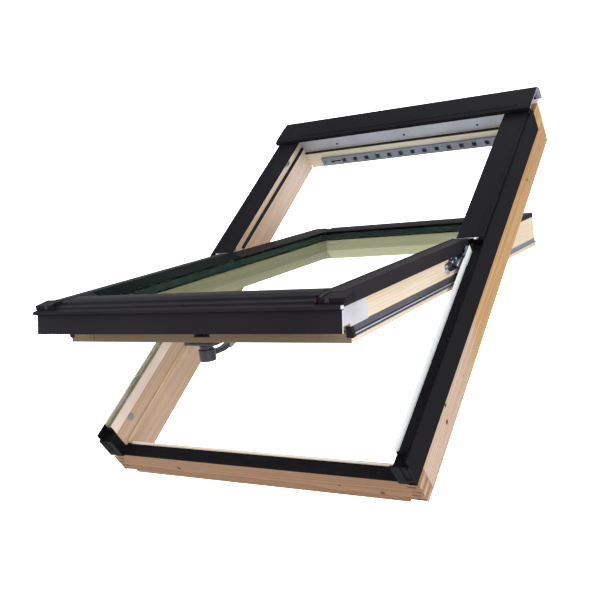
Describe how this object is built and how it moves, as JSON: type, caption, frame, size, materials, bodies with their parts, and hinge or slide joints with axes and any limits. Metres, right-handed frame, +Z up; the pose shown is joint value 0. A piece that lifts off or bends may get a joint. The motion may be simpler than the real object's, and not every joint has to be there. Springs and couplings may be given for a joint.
{
  "type": "roof window",
  "caption": "Centre-pivot timber roof window with dark metal cladding, sealed glass, a bottom handle and a sliding vent in the head, shown part open.",
  "frame": {"origin": "centre of the sill's back face, where the inner lining meets the frame", "axes": "+Z up, +X to the right seen from outside, +Y into the room; the frame lies at a 45 degree roof pitch"},
  "size_m": [0.784, 1.153, 0.9458],
  "materials": {
    "pine": "bare planed softwood, clear varnish",
    "dark_sheet": "satin near-black coated aluminium sheet",
    "bright_strip": "plain mill-finish aluminium",
    "dark_rail": "grey anodised extrusion",
    "black_plastic": "moulded plastic",
    "grey_plastic": "moulded plastic, lavender grey",
    "vent_metal": "blue-grey coated aluminium",
    "seal": "extruded rubber",
    "clear_glass": "float glass, green edge",
    "hinge_steel": "zinc-plated steel",
    "handle_metal": "dark grey coated casting",
    "screw_steel": "plated steel"
  },
  "bodies": {
    "frame": {"frame_sill": "pine", "frame_head": "pine", "frame_jamb_left": "pine", "frame_jamb_right": "pine", "side_strip_left": "dark_sheet", "side_strip_right": "dark_sheet", "upper_cover_left": "dark_sheet", "upper_cover_right": "dark_sheet", "head_hood": "dark_sheet", "sill_cladding": "dark_sheet", "sill_cap_left": "black_plastic", "sill_cap_right": "black_plastic", "head_flashing": "bright_strip", "flashing_screws": "screw_steel", "head_gasket": "seal", "jamb_gasket_left": "seal", "jamb_gasket_right": "seal", "jamb_channel_left": "bright_strip", "jamb_channel_right": "bright_strip", "gutter_sheet_left": "dark_sheet", "gutter_sheet_right": "dark_sheet", "vent_grille": "vent_metal", "vent_screws": "screw_steel", "hinge_guide_left": "hinge_steel", "hinge_guide_right": "hinge_steel", "bolt_bush": "grey_plastic", "striker_plate": "hinge_steel"},
    "sash": {"sash_bottom_rail": "pine", "sash_top_rail": "pine", "sash_stile_left": "pine", "sash_stile_right": "pine", "inner_pane": "clear_glass", "outer_pane": "clear_glass", "glass_spacer": "dark_rail", "seal_rail_left": "dark_rail", "seal_rail_right": "dark_rail", "sash_cover_left": "dark_sheet", "sash_cover_right": "dark_sheet", "upper_trim_left": "dark_sheet", "upper_trim_right": "dark_sheet", "top_trim": "dark_sheet", "bottom_profile": "dark_sheet", "sash_fascia": "dark_sheet", "cover_end_left": "black_plastic", "cover_end_right": "black_plastic", "corner_plate_left": "grey_plastic", "corner_plate_right": "grey_plastic", "top_fin": "bright_strip", "hinge_runner_left": "hinge_steel", "hinge_runner_right": "hinge_steel", "handle_base": "handle_metal"},
    "handle": {"handle_lever": "handle_metal", "handle_spindle": "screw_steel"},
    "shutter": {"vent_shutter": "vent_metal"}
  },
  "joints": [
    {"name": "sash_pivot", "type": "hinge", "parent": "frame", "child": "sash", "pos_m": [0, 0.32302, 0.52667], "axis": [-1, 0, 0], "range_deg": [-33, 117]},
    {"name": "handle_turn", "type": "hinge", "parent": "sash", "child": "handle", "pos_m": [0, -0.19074, 0.29683], "axis": [0, 0.2079, -0.9781], "range_deg": [0, 90]},
    {"name": "vent_slide", "type": "slide", "parent": "frame", "child": "shutter", "axis": [1, 0, 0], "range_m": [0, 0.019]}
  ]
}
